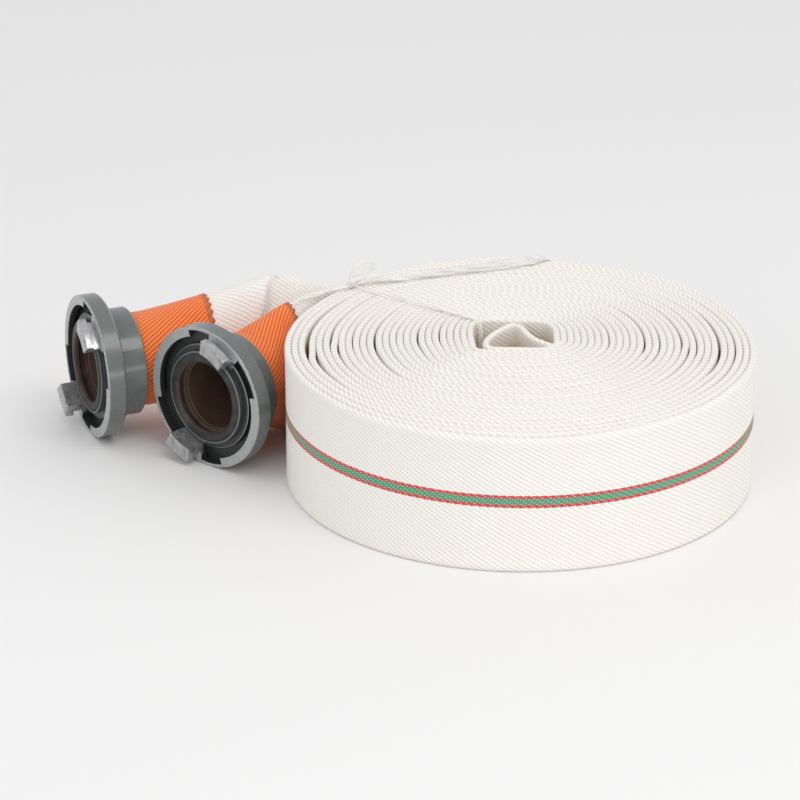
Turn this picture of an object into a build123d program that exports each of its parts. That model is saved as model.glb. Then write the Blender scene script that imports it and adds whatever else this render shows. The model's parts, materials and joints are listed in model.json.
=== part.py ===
from build123d import *
import math
import os

# Rolled 65 mm lay-flat fire hose with a claw coupling on each end.
# The hose was folded at its middle and wound on edge, so both ends come off the outside of the roll.
# Origin: the centre of the roll on the floor. +Z is up, +X to the right, +Y to the back. Millimetres.

# Roll
FLAT_WIDTH = 105.0          # flat width of a 65 mm bore hose, which is the height of the roll
PLY = 5.6                   # pitch of the plies: two walls and the slack between them
ROLL_RADIUS = 181.6         # outside of the last ply, where hose end A leaves the roll
CORE_LEFT = (-26.0, 19.0, 11.0, 52.0)       # hollows beside the middle bend: centre x, y and size x, y
CORE_RIGHT = (24.0, 13.0, 15.0, 34.0)

# Couplings: the centre of each front plane, and the way each nose points, counted from +X towards +Y
RING_RADIUS = 55.5
ENDS = {
    "a": {"at": (-327.6, 72.6), "nose": 203.0, "claws": 52.0, "flatten": 1.1, "sleeve_end": 95.0},
    "b": {"at": (-233.4, 11.2), "nose": 229.0, "claws": 66.0, "flatten": 1.5, "sleeve_end": 92.0},
}

# Claw ring; heights count forward from the front plane, so what lies behind it is negative
WALL_RADIUS = 53.0          # inside of the outer wall
LIP_RADIUS = 48.0           # inside of the two locking lips
LIP_DEPTH = 5.0
LIP_ARC = 87.0
LIP_FROM_CLAW = 85.0        # angle from a claw's middle to the next lip's middle
FLOOR = -9.0
RING_BACK = -14.5
HUB_RADIUS = 41.2
HUB_FRONT = -4.0
CLAW_INNER = 41.5
CLAW_ARC = 29.0
CLAW_FOOT_ARC = 35.0
CLAW_TIP_BACK = 6.0
CLAW_TIP_FRONT = 12.5
COLLAR_RADIUS = 41.8
COLLAR_BORE = 39.2
COLLAR_BACK = -35.5
RIB = (1.6, 9.5, 1.3)       # collar rib: width, length, height
RIB_FROM_CLAW = -19.0
WEB_BACK = -18.9

# Seal seat, which the ring turns on
BORE_RADIUS = 27.5
NOSE_RADIUS = 36.35
CUP_RADIUS = 35.0
CUP_FLOOR = -10.0
JOURNAL_RADIUS = 35.4
RUNNING = 0.06              # radial clearance between the ring and the seat
SHOULDER = -12.0
GROOVE_BACK = -21.0
GROOVE_FRONT = -18.95
GROOVE_RADIUS = 34.3
SHANK_FRONT = -23.0
SHANK_BACK = -50.0
SHANK_RADIUS = 31.0
BARB = 1.2
BARBS = 4

# Hose wall at the shank, from the inside out
LINING_RADIUS = 32.35       # inside of the rubber lining
LINING_WALL = 0.9
JACKET_WALL = 1.3
SLEEVE_WALL = 1.3
SKIN_GAP = 0.1
JACKET_RADIUS = LINING_RADIUS + LINING_WALL + SKIN_GAP + JACKET_WALL
SLEEVE_RADIUS = JACKET_RADIUS + SKIN_GAP + SLEEVE_WALL
SLEEVE_SECTIONS = 4         # steps of the loft under the sleeve, and from there to the roll
NECK_SECTIONS = 7
FULL_HEIGHT_AT = 0.8        # share of the tail after which the hose has its full flat width

# Binding wire and film tie
WIRE_RADIUS = 0.8
WIRE_TURNS = 4
WIRE_START = -28.0
FILM = 0.5
KNOT_AT = (-124.0, 110.0)
KNOT = (17.0, 11.0, 6.0)


def direction(degrees):
    return (math.cos(math.radians(degrees)), math.sin(math.radians(degrees)))


def polar(radius, degrees):
    x, y = direction(degrees)
    return (radius * x, radius * y)


# ---------------------------------------------------------------- roll

def leave_angle(end):
    """The polar angle at which a hose end leaves the roll, square to its coupling's axis."""
    return ENDS[end]["nose"] - 90.0


def outside(degrees):
    """Radius of strand A's outer face; the angle runs up to leave_angle("a") + 360."""
    return ROLL_RADIUS - 2 * PLY * (leave_angle("a") + 360.0 - degrees) / 360.0


def spiral(start, end, inset, pieces):
    """Arcs along the outside of the roll, inset by some plies."""
    step = (end - start) / pieces
    arcs = []
    for i in range(pieces):
        angles = (start + i * step, start + (i + 0.5) * step, start + (i + 1) * step)
        arcs.append(ThreePointArc(*[polar(outside(a) - inset, a) for a in angles]))
    return arcs


def make_roll():
    first = leave_angle("b")
    last = leave_angle("a") + 360.0
    outer = spiral(first, last, 0.0, 12)
    inner = spiral(last, first + 360.0, PLY, 1)
    step_a = Line(outer[-1] @ 1, inner[0] @ 0)
    step_b = Line(inner[0] @ 1, outer[0] @ 0)
    face = make_face(Wire(outer + [step_a] + inner + [step_b]))
    roll = extrude(face, FLAT_WIDTH, dir=(0, 0, 1))
    for x, y, width, depth in (CORE_LEFT, CORE_RIGHT):
        hollow = extrude(RectangleRounded(width, depth, 4.0), FLAT_WIDTH + 2)
        roll -= Pos(x, y, -1) * hollow
    return roll


# ---------------------------------------------------------------- coupling, built about +Z at its front plane

def ring_plane(end):
    """The coupling's frame: +Z out of the nose, +X level, +Y up."""
    x, y = ENDS[end]["at"]
    nx, ny = direction(ENDS[end]["nose"])
    return Plane(origin=(x, y, RING_RADIUS), x_dir=(-ny, nx, 0), z_dir=(nx, ny, 0))


def turned(points):
    """A solid of revolution about Z from its outline in radius and height."""
    face = make_face(Plane.XZ * Polyline(*points, close=True))
    return revolve(face, Axis.Z)


def sector(inner, outer, low, high, middle, width):
    """Part of a ring, width degrees wide about the angle middle."""
    face = make_face(Plane.XZ * Polyline((inner, low), (outer, low), (outer, high), (inner, high), close=True))
    return Rot(0, 0, middle - width / 2) * revolve(face, Axis.Z, revolution_arc=width)


def make_claw(middle):
    """One claw: a foot filled out to the ring's wall, a pillar, and a hooked tip that faces outwards."""
    foot = sector(LIP_RADIUS - 0.6, WALL_RADIUS + 0.3, FLOOR - 0.2, 0.0, middle, CLAW_FOOT_ARC)
    pillar = sector(CLAW_INNER, LIP_RADIUS, FLOOR - 0.2, CLAW_TIP_FRONT, middle, CLAW_ARC)
    tip = sector(LIP_RADIUS - 1.0, WALL_RADIUS - 0.4, CLAW_TIP_BACK, CLAW_TIP_FRONT, middle, CLAW_ARC)
    claw = pillar + tip
    front = claw.edges().group_by(Axis.Z)[-1]
    return fillet(front, 1.3) + foot


def make_claw_ring(claws):
    bore = JOURNAL_RADIUS + RUNNING
    mouth = NOSE_RADIUS + RUNNING
    chamfer_size = 1.0
    body = turned([
        (bore, WEB_BACK), (COLLAR_BORE, WEB_BACK), (COLLAR_BORE, COLLAR_BACK),
        (COLLAR_RADIUS - chamfer_size, COLLAR_BACK), (COLLAR_RADIUS, COLLAR_BACK + chamfer_size),
        (COLLAR_RADIUS, RING_BACK - 1.2), (COLLAR_RADIUS + 1.2, RING_BACK),
        (RING_RADIUS - 1.6, RING_BACK), (RING_RADIUS, RING_BACK + 1.6),
        (RING_RADIUS, -0.8), (RING_RADIUS - 0.8, 0.0), (WALL_RADIUS, 0.0), (WALL_RADIUS, FLOOR),
        (HUB_RADIUS, FLOOR), (HUB_RADIUS, HUB_FRONT - 0.8), (HUB_RADIUS - 0.8, HUB_FRONT),
        (mouth, HUB_FRONT), (mouth, SHOULDER - 0.1), (bore, SHOULDER - 0.1),
    ])
    width, length, height = RIB
    for half in (0.0, 180.0):
        lip_middle = claws + LIP_FROM_CLAW + half
        body += sector(LIP_RADIUS, WALL_RADIUS + 0.3, -LIP_DEPTH, 0.0, lip_middle, LIP_ARC)
        body += make_claw(claws + half)
    for i in range(4):
        rib = Box(height + 1.0, width, length, align=(Align.MIN, Align.CENTER, Align.MAX))
        placed = Pos(COLLAR_RADIUS - 1.0, 0, RING_BACK + 1.0) * rib
        body += Rot(0, 0, claws + RIB_FROM_CLAW + 90.0 * i) * placed
    return body


def make_seal_seat():
    barbs = []
    pitch = (SHANK_FRONT - SHANK_BACK) / BARBS
    for i in range(BARBS):
        back = SHANK_BACK + i * pitch
        barbs += [(SHANK_RADIUS, back), (SHANK_RADIUS + BARB, back + 0.6 * pitch), (SHANK_RADIUS, back + 0.62 * pitch)]
    return turned([(BORE_RADIUS, SHANK_BACK)] + barbs + [
        (SHANK_RADIUS, SHANK_FRONT), (JOURNAL_RADIUS, SHANK_FRONT),
        (JOURNAL_RADIUS, GROOVE_BACK), (GROOVE_RADIUS, GROOVE_BACK),
        (GROOVE_RADIUS, GROOVE_FRONT), (JOURNAL_RADIUS, GROOVE_FRONT),
        (JOURNAL_RADIUS, SHOULDER), (NOSE_RADIUS, SHOULDER),
        (NOSE_RADIUS, -0.3), (NOSE_RADIUS - 0.3, 0.0), (CUP_RADIUS, 0.0),
        (CUP_RADIUS, CUP_FLOOR), (BORE_RADIUS, CUP_FLOOR),
    ])


def make_gasket():
    """Face seal with a lip: full at its rim, hollowed behind the lip at its inner edge."""
    rim = CUP_RADIUS - SKIN_GAP
    lip = BORE_RADIUS + 0.5
    back = CUP_FLOOR + SKIN_GAP
    return turned([
        (rim, back), (rim, -0.6), (rim - 1.4, 0.8), (lip + 1.4, 0.8), (lip, -0.4),
        (lip, -2.6), (lip + 2.4, -4.0), (lip + 2.4, -7.0), (lip, -8.2), (lip, back),
    ])


def make_snap_ring():
    """Split ring in the seat's groove; its gap lets it spring over the seat."""
    return sector(GROOVE_RADIUS + 0.1, COLLAR_BORE - 1.2, GROOVE_BACK + 0.05, WEB_BACK - 0.1, 90.0, 346.0)


def make_binding_wire():
    """Close turns of wire drawn down over the hose, drawn as one ribbed ring."""
    centre = SLEEVE_RADIUS + SKIN_GAP + WIRE_RADIUS
    wire = Pos(0, 0, WIRE_START) * Torus(centre, WIRE_RADIUS)
    for i in range(1, WIRE_TURNS):
        wire += Pos(0, 0, WIRE_START - i * 1.85 * WIRE_RADIUS) * Torus(centre, WIRE_RADIUS)
    return wire


# ---------------------------------------------------------------- hose ends: round on the shank, flat at the roll

def axis_point(end, back, side, height):
    """A point given back along the coupling's axis, sideways away from the roll, and up."""
    x, y = ENDS[end]["at"]
    nx, ny = direction(ENDS[end]["nose"])
    return (x - nx * back + ny * side, y - ny * back - nx * side, height)


def tail_length(end):
    """Distance from the front plane back to where the hose meets the roll."""
    x, y = ENDS[end]["at"]
    nx, ny = direction(ENDS[end]["nose"])
    return x * nx + y * ny


def tail_shift(end):
    """How far the flat strand lies sideways from the coupling's axis where it meets the roll."""
    x, y = ENDS[end]["at"]
    nx, ny = direction(ENDS[end]["nose"])
    turns = 360.0 if end == "a" else 0.0
    face = outside(leave_angle(end) + turns)
    middle = face - PLY / 2 if end == "a" else face + PLY / 2
    return middle - (x * ny - y * nx)


def tail_section(end, back, grow):
    """Outline of the hose across its axis: a circle up to the shank's end, then ever flatter ellipses."""
    share = max(0.0, (back + SHANK_BACK) / (tail_length(end) + SHANK_BACK))
    flat = PLY / 2
    half_width = flat + (JACKET_RADIUS - flat) * (1.0 - share) ** ENDS[end]["flatten"]
    rise = math.sin(min(1.0, share / FULL_HEIGHT_AT) * math.pi / 2)
    half_height = JACKET_RADIUS + (FLAT_WIDTH / 2 - JACKET_RADIUS) * rise
    centre = RING_RADIUS + (FLAT_WIDTH / 2 - RING_RADIUS) * rise
    nx, ny = direction(ENDS[end]["nose"])
    middle = axis_point(end, back, tail_shift(end) * share ** 2, centre)
    plane = Plane(origin=middle, x_dir=(0, 0, 1), z_dir=(-nx, -ny, 0))
    return plane * Ellipse(half_height + grow, min(half_width, half_height) + grow)


def tail_stops(end, start, finish):
    """Where the sections stand. All shells of one end share them, so that their faces stay parallel."""
    bend = -SHANK_BACK
    neck = ENDS[end]["sleeve_end"]
    length = tail_length(end)
    shared = [bend + (neck - bend) * i / SLEEVE_SECTIONS for i in range(SLEEVE_SECTIONS)]
    shared += [neck + (length - neck) * i / NECK_SECTIONS for i in range(NECK_SECTIONS)]
    return [start] + [stop for stop in shared if start < stop < finish] + [finish]


def tail_solid(end, start, finish, grow, overrun=0.0):
    """A solid along the hose end, its outline grown or shrunk by grow, and longer by overrun at each end."""
    sections = [tail_section(end, stop, grow) for stop in tail_stops(end, start, finish)]
    if overrun:
        nx, ny = direction(ENDS[end]["nose"])
        sections.insert(0, Pos(nx * overrun, ny * overrun, 0) * sections[0])
        sections.append(Pos(-nx * overrun, -ny * overrun, 0) * sections[-1])
    return loft(sections, ruled=True)


def tail_shell(end, start, finish, outer, inner):
    return tail_solid(end, start, finish, outer) - tail_solid(end, start, finish, inner, 1.0)


# ---------------------------------------------------------------- film tie

def strip(start, end, width, low, high):
    """A straight run of film, level, from one point of the plan to another."""
    length = math.dist(start, end)
    angle = math.degrees(math.atan2(end[1] - start[1], end[0] - start[0]))
    run = Box(length, width, high - low, align=(Align.MIN, Align.CENTER, Align.MIN))
    return Pos(start[0], start[1], low) * Rot(0, 0, angle) * run


def make_film_tie():
    """One strip of packing film: a knot, a strand down the core, a band over the back, one over end B.

    Each run is its far end, its width and how low it drops there.
    """
    low = FLAT_WIDTH + SKIN_GAP
    high = low + FILM
    knot_size_x, knot_size_y, knot_size_z = KNOT
    knot = Pos(KNOT_AT[0], KNOT_AT[1], low + knot_size_z / 2) * Box(knot_size_x, knot_size_y, knot_size_z)
    tie = fillet(knot.edges(), 2.0)
    runs = (
        ((-26.0, 40.0), 2.5, 70.0),
        ((27.0, 187.0), 11.0, 72.0),
        ((-166.0, 92.0), 8.0, 104.0),
    )
    for end, width, bottom in runs:
        angle = math.degrees(math.atan2(end[1] - KNOT_AT[1], end[0] - KNOT_AT[0]))
        drop = Box(FILM, width, high - bottom, align=(Align.MAX, Align.CENTER, Align.MAX))
        tie += strip(KNOT_AT, end, width, low, high)
        tie += Pos(end[0], end[1], high) * Rot(0, 0, angle) * drop
    return tie


# ---------------------------------------------------------------- the parts

def make_parts():
    parts = {"hose_roll": make_roll()}
    lining_out = -(JACKET_WALL + SKIN_GAP)
    lining_in = lining_out - LINING_WALL
    sleeve_in = SKIN_GAP
    sleeve_out = SKIN_GAP + SLEEVE_WALL
    start = -SHANK_FRONT + 0.5
    for end, spec in ENDS.items():
        neck = spec["sleeve_end"]
        finish = tail_length(end)
        parts[f"hose_end_{end}"] = tail_shell(end, start, neck, 0.0, -JACKET_WALL)
        parts[f"hose_neck_{end}"] = tail_shell(end, neck, finish, 0.0, -JACKET_WALL)
        parts[f"lining_{end}"] = tail_shell(end, start, finish, lining_out, lining_in)
        parts[f"sleeve_{end}"] = tail_shell(end, start, neck, sleeve_out, sleeve_in)
        place = ring_plane(end).location
        parts[f"claw_ring_{end}"] = place * make_claw_ring(spec["claws"])
        parts[f"seal_seat_{end}"] = place * make_seal_seat()
        parts[f"gasket_{end}"] = place * make_gasket()
        parts[f"snap_ring_{end}"] = place * make_snap_ring()
        parts[f"binding_wire_{end}"] = place * make_binding_wire()
    parts["film_tie"] = make_film_tie()
    return parts


def main():
    os.makedirs("parts", exist_ok=True)
    for name, shape in make_parts().items():
        export_step(shape, f"parts/{name}.step")


main()
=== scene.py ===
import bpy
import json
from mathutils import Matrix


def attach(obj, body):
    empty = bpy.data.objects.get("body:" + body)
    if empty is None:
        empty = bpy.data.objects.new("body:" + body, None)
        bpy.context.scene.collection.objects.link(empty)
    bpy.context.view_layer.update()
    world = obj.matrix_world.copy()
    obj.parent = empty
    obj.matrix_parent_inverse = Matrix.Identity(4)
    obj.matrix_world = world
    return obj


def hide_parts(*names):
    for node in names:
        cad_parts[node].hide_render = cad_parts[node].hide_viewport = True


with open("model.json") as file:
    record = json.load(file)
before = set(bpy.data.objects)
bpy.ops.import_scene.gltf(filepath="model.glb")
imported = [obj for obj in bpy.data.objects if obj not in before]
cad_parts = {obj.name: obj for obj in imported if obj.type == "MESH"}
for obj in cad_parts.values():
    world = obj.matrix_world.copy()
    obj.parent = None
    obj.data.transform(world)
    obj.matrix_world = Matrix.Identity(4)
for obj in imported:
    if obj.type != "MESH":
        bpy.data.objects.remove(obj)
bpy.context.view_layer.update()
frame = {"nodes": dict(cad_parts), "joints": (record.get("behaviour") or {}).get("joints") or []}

import json
import math

import bpy
import numpy as np
from mathutils import Vector, noise

# Shapes are worked out in millimetres and made in metres. The camera, the lamps, the film's flat length and
# the materials' own distances are in metres from the start.
MM = 0.001
FLAT = 105.0                    # width of the hose laid flat, and so the height of the roll
RIM = 55.5                      # radius of the claw rings, and height of their axes
PLY = 5.6                       # pitch of the plies near the outside of the roll
ROLL_RADIUS = 181.6
JACKET_RADIUS = 34.65           # the hose's outside on a shank
TUBE_START = 24.0               # the hose begins this far behind a ring's front plane
STRAIGHT = 50.0                 # and keeps to the coupling's axis as far as here
# For each end: direction of its claws, how fast its section flattens, where the sleeve stops, the direction
# at which the hose leaves the roll, the share of the way at which it has its full height, and how far apart
# its stations are
ENDS = {
    "a": {"claws": 52.0, "flatten": 1.25, "sleeve": 98.0, "leave": 109.5, "grow": 0.62, "spacing": 2.5},
    "b": {"claws": 66.0, "flatten": 2.0, "sleeve": 92.0, "leave": 134.0, "grow": 0.5, "spacing": 4.0},
}
for joint in frame["joints"]:
    spec = ENDS[joint["child"][-1]]
    spec["at"] = tuple(1000.0 * v for v in joint["pos_m"][:2])
    spec["nose"] = math.degrees(math.atan2(joint["axis"][1], joint["axis"][0])) % 360.0


def direction(degrees):
    """A unit vector on the floor."""
    return np.array((math.cos(math.radians(degrees)), math.sin(math.radians(degrees))))


def smooth(x, low, high):
    """0 up to low and 1 from high on, with an easy step between."""
    t = min(1.0, max(0.0, (x - low) / (high - low)))
    return t * t * (3 - 2 * t)


def wobble(x, y, seed):
    """Smooth noise from about -1 to 1."""
    return noise.noise(Vector((x, y, seed * 17.3))) * 1.6


# ---------------------------------------------------------------- camera

LOOKS_DOWN = 23.05              # degrees


def make_camera():
    data = bpy.data.cameras.new("camera")
    data.lens = 147.0
    data.sensor_width = 36.0
    data.clip_end = 30.0
    camera = bpy.data.objects.new("camera", data)
    camera.location = (-0.0866, -2.2496, 1.0156)
    camera.rotation_euler = (math.radians(90 - LOOKS_DOWN), 0.0, 0.0)
    bpy.context.scene.collection.objects.link(camera)
    bpy.context.scene.camera = camera


make_camera()
bpy.context.scene.view_settings.view_transform = "Standard"


# ---------------------------------------------------------------- shader helper

class Shader:
    """A material's node tree, built by short calls."""

    def __init__(self, name):
        self.material = bpy.data.materials.new(name)
        self.material.use_nodes = True
        self.tree = self.material.node_tree
        self.tree.nodes.clear()
        self.bsdf = self.node("ShaderNodeBsdfPrincipled")
        output = self.node("ShaderNodeOutputMaterial")
        self.tree.links.new(self.bsdf.outputs[0], output.inputs["Surface"])

    def node(self, kind, **settings):
        made = self.tree.nodes.new(kind)
        for key, value in settings.items():
            setattr(made, key, value)
        return made

    def put(self, value, socket):
        if hasattr(value, "is_output"):
            self.tree.links.new(value, socket)
        else:
            socket.default_value = value

    def math(self, operation, *values):
        made = self.node("ShaderNodeMath", operation=operation)
        for i, value in enumerate(values):
            self.put(value, made.inputs[i])
        return made.outputs[0]

    def mix(self, factor, low, high, blend="MIX"):
        made = self.node("ShaderNodeMix", data_type="RGBA", blend_type=blend)
        self.put(factor, made.inputs["Factor"])
        for value, socket in ((low, made.inputs[6]), (high, made.inputs[7])):
            self.put(value if hasattr(value, "is_output") else (*value, 1.0), socket)
        return made.outputs[2]

    def ramp(self, value, low, high, start=0.0, end=1.0):
        made = self.node("ShaderNodeMapRange", interpolation_type="SMOOTHSTEP")
        for name, given in (("Value", value), ("From Min", low), ("From Max", high),
                            ("To Min", start), ("To Max", end)):
            self.put(given, made.inputs[name])
        return made.outputs[0]

    def place(self):
        return self.node("ShaderNodeTexCoord").outputs["Object"]

    def noise(self, vector, scale, detail=3.0, rough=0.55, stretch=None):
        if stretch:
            mapping = self.node("ShaderNodeMapping")
            self.put(vector, mapping.inputs["Vector"])
            mapping.inputs["Scale"].default_value = stretch
            vector = mapping.outputs[0]
        made = self.node("ShaderNodeTexNoise")
        self.put(vector, made.inputs["Vector"])
        made.inputs["Scale"].default_value = scale
        made.inputs["Detail"].default_value = detail
        made.inputs["Roughness"].default_value = rough
        return made.outputs["Fac"]

    def vector(self, operation, *values):
        made = self.node("ShaderNodeVectorMath", operation=operation)
        for i, value in enumerate(values):
            self.put(value, made.inputs[i])
        return made.outputs["Value" if operation in ("DOT_PRODUCT", "LENGTH") else "Vector"]

    def between(self, value, low, high, soft):
        """1 between low and high, falling to 0 over the length soft outside them."""
        return self.math("MULTIPLY", self.ramp(value, low - soft, low), self.ramp(value, high + soft, high))

    def edge(self, radius):
        """How far a bevel of this radius would turn the surface here, from 0, and the bevel's normal."""
        bevel = self.node("ShaderNodeBevel", samples=4)
        bevel.inputs["Radius"].default_value = radius
        true_normal = self.node("ShaderNodeNewGeometry").outputs["Normal"]
        turned = self.vector("DOT_PRODUCT", bevel.outputs[0], true_normal)
        return self.math("SUBTRACT", 1.0, turned), bevel.outputs[0]

    def attribute(self, name):
        return self.node("ShaderNodeAttribute", attribute_name=name).outputs["Fac"]

    def weave_uv(self):
        split = self.node("ShaderNodeSeparateXYZ")
        self.put(self.node("ShaderNodeUVMap", uv_map="weave").outputs[0], split.inputs[0])
        return split.outputs[0], split.outputs[1]

    def bump(self, height, distance, strength=1.0, below=None):
        made = self.node("ShaderNodeBump")
        made.inputs["Strength"].default_value = strength
        made.inputs["Distance"].default_value = distance
        self.put(height, made.inputs["Height"])
        if below is not None:
            self.put(below, made.inputs["Normal"])
        return made.outputs[0]

    def finish(self, color=None, rough=None, normal=None, **fixed):
        for name, value in (("Base Color", color), ("Roughness", rough), ("Normal", normal)):
            if value is not None:
                self.put(value if hasattr(value, "is_output") or name == "Roughness" else (*value, 1.0),
                         self.bsdf.inputs[name])
        for name, value in fixed.items():
            self.bsdf.inputs[name.replace("_", " ")].default_value = value
        return self.material


# ---------------------------------------------------------------- woven cloth

REPEAT_ALONG = 5.7 * MM         # the twill repeats every three picks along the hose
REPEAT_ROUND = 210.0 / 61 * MM  # and every three ends round it
END_PITCH = REPEAT_ROUND / 3
LINE_UP = 2 * END_PITCH         # the coloured line lies this far above the middle of its side


def twill(sh, shares=(0.68, 0.18, 0.14)):
    """Height of a 2/1 twill from 0 to 1, a mask of the dots where the weft shows, and the place round."""
    along, around = sh.weave_uv()
    along = sh.math("MULTIPLY", along, -1.0)
    waves = []
    dot_along, dot_around = REPEAT_ALONG * 5 / 6, END_PITCH / 2
    for (fx, fy), share in zip(((1, -1), (2, 1), (3, 0)), shares):
        kx, ky = fx / REPEAT_ALONG * 2 * math.pi, fy / REPEAT_ROUND * 2 * math.pi
        offset = -(kx * dot_along + ky * dot_around)
        phase = sh.math("MULTIPLY_ADD", along, kx, offset)
        phase = sh.math("MULTIPLY_ADD", around, ky, phase)
        waves.append(sh.math("MULTIPLY", sh.math("COSINE", phase), share))
    total = sh.math("ADD", sh.math("ADD", waves[0], waves[1]), waves[2])
    height = sh.math("MULTIPLY_ADD", total, -0.5, 0.5)
    row = sh.math("FLOOR", sh.math("DIVIDE", around, END_PITCH))
    step = sh.math("MULTIPLY_ADD", row, -1 / 3, sh.math("DIVIDE", along, REPEAT_ALONG))
    from_dot = sh.math("ABSOLUTE", sh.math("SUBTRACT", sh.math("FRACT", sh.math("ADD", step, -1 / 3)), 0.5))
    across_row = sh.math("SUBTRACT", sh.math("FRACT", sh.math("DIVIDE", around, END_PITCH)), 0.5)
    far = sh.math("ADD",
                  sh.math("POWER", sh.math("MULTIPLY", from_dot, REPEAT_ALONG / (0.72 * MM)), 2.0),
                  sh.math("POWER", sh.math("MULTIPLY", across_row, END_PITCH / (0.50 * MM)), 2.0))
    dots = sh.ramp(far, 1.3, 0.4)
    return height, dots, around


def make_jacket():
    """Off-white twill with a green and red line, with painted shade in the weave's grooves, and painted shade
    that makes the cloth yellower and dimmer down between the plies.
    """
    sh = Shader("jacket")
    height, dots, around = twill(sh)
    place = sh.place()
    patches = sh.noise(place, 24.0, 2.0)
    fibre = sh.noise(place, 1500.0, 2.0)
    white = sh.mix(patches, (0.915, 0.88, 0.83), (0.94, 0.915, 0.88))
    # painted shade darkens the grooves of the twill
    white = sh.mix(sh.ramp(height, 0.5, 0.05), white, (0.75, 0.705, 0.655))
    from_line = sh.math("ABSOLUTE", sh.math("ADD", around, LINE_UP))
    in_line = sh.math("LESS_THAN", from_line, 4 * END_PITCH)
    in_green = sh.math("LESS_THAN", from_line, 2 * END_PITCH)
    yarn = sh.mix(in_green, (0.78, 0.018, 0.028), (0.05, 0.37, 0.19))
    # painted shade darkens the grooves of the coloured line
    yarn = sh.mix(sh.ramp(height, 0.6, 0.1), yarn, (0.10, 0.10, 0.06))
    yarn = sh.mix(sh.math("MULTIPLY", dots, 0.75), yarn, (0.74, 0.74, 0.68))
    cloth = sh.mix(in_line, white, yarn)
    # painted shade: the deeper the cloth lies between the plies, the more it turns tan and then brown
    crevice_shade = sh.attribute("crevice_shade")
    tan = sh.mix(sh.ramp(crevice_shade, 0.25, 1.0), (0.84, 0.70, 0.53), (0.62, 0.43, 0.25))
    cloth = sh.mix(crevice_shade, cloth, tan)
    cloth = sh.mix(sh.math("MULTIPLY", fibre, 0.10), cloth, (0.5, 0.47, 0.43))
    bumpy = sh.math("MULTIPLY_ADD", fibre, 0.16, height)
    return sh.finish(cloth, 0.82, sh.bump(bumpy, 0.0003), Sheen_Weight=0.15, Sheen_Roughness=0.5,
                     Specular_IOR_Level=0.28)


def make_sleeve():
    """Orange ribbed cloth, with painted shade in its grooves and painted highlights on its ribs."""
    sh = Shader("sleeve")
    height, _, _ = twill(sh, (0.84, 0.10, 0.06))
    place = sh.place()
    patches = sh.noise(place, 35.0, 3.0)
    fibre = sh.noise(place, 1400.0, 2.0)
    color = sh.mix(patches, (0.96, 0.185, 0.028), (0.99, 0.24, 0.042))
    # painted shade in the grooves of the weave
    color = sh.mix(sh.ramp(height, 0.5, 0.05), color, (0.66, 0.078, 0.011))
    # painted highlights on the tops of the ribs
    color = sh.mix(sh.math("MULTIPLY", sh.ramp(height, 0.7, 1.0), 0.6), color, (1.0, 0.42, 0.16))
    color = sh.mix(sh.math("MULTIPLY", fibre, 0.12), color, (1.0, 0.42, 0.2))
    bumpy = sh.math("MULTIPLY_ADD", fibre, 0.2, height)
    return sh.finish(color, 0.75, sh.bump(bumpy, 0.00055), Sheen_Weight=0.2, Sheen_Roughness=0.5,
                     Specular_IOR_Level=0.3)


# ---------------------------------------------------------------- where each ply of the roll lies

TURN = 96                        # directions in one turn
STEP = 360.0 / TURN
WINDINGS = 14                    # turns of each strand
LAST = {"a": 113.0 + 360.0 * WINDINGS, "b": 139.0 + 360.0 * WINDINGS}
FIRST = {"a": 200.0, "b": 315.0}
CORE = np.array((0.0, 18.0))
# The hollow core's outline: direction and radius
CORE_SHAPE = (
    (0, 27.8), (25, 30.3), (45, 33.2), (60, 30.0), (90, 26.5), (115, 29.4), (130, 37.3), (143, 37.6),
    (160, 33.2), (180, 31.2), (205, 33.1), (222, 36.3), (240, 28.9), (270, 25.0), (295, 28.9),
    (310, 33.4), (320, 33.9), (340, 29.6), (360, 27.8),
)
# How much of the space the plies fill, by direction; the rest is gaps between them
FILL = ((0, 0.93), (35, 0.945), (60, 0.965), (90, 0.975), (125, 0.965), (150, 0.935), (180, 0.905),
        (205, 0.92), (228, 0.95), (245, 0.985), (300, 0.985), (320, 0.955), (340, 0.935), (360, 0.93))
# Wide gaps: plies in from the outside, direction, half angle, weight
GAPS = (
    (4.0, 176, 30, 5.0), (7.0, 163, 34, 2.6), (9.3, 150, 30, 1.2), (12.6, 184, 30, 2.4), (15.1, 150, 26, 1.0),
    (18.3, 186, 22, 1.8), (21.4, 166, 30, 1.0),
    (2.6, 8, 36, 1.6), (4.4, -2, 28, 3.6), (7.4, 20, 34, 1.6), (9.2, 4, 34, 2.2), (12.4, -12, 30, 1.2),
    (14.4, 12, 34, 2.2), (19.4, 12, 26, 1.3),
)


def table(rows, angle):
    angles, values = zip(*rows)
    return float(np.interp(angle % 360.0, angles, values))


def core_radius(angle):
    """The hollow core's outline about its centre, with its corners eased."""
    spread = ((-8, 1), (-4, 2), (0, 3), (4, 2), (8, 1))
    return sum(weight * table(CORE_SHAPE, angle + off) for off, weight in spread) / 9.0


def outside(turned):
    """Radius of strand A's outer face, by the angle wound so far."""
    return ROLL_RADIUS - 2 * PLY * (LAST["a"] - turned) / 360.0


def gap_weight(strand, turned):
    """How large a share of the slack lies inside a ply at this angle."""
    depth = (LAST["a"] - turned) / 180.0 + (1.0 if strand == "b" else 0.0)
    weight = 0.35 + 0.3 * wobble(turned / 40.0, 3.0 if strand == "a" else 9.0, 1.0)
    for place, middle, half, amount in GAPS:
        away = (turned - middle + 180.0) % 360.0 - 180.0
        spiral_depth = depth - away / 180.0
        if abs(away) < 1.6 * half and abs(spiral_depth - place) < 0.5:
            weight += amount * smooth(1.6 * half - abs(away), 0.0, 1.2 * half)
    return max(0.05, weight)


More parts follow.
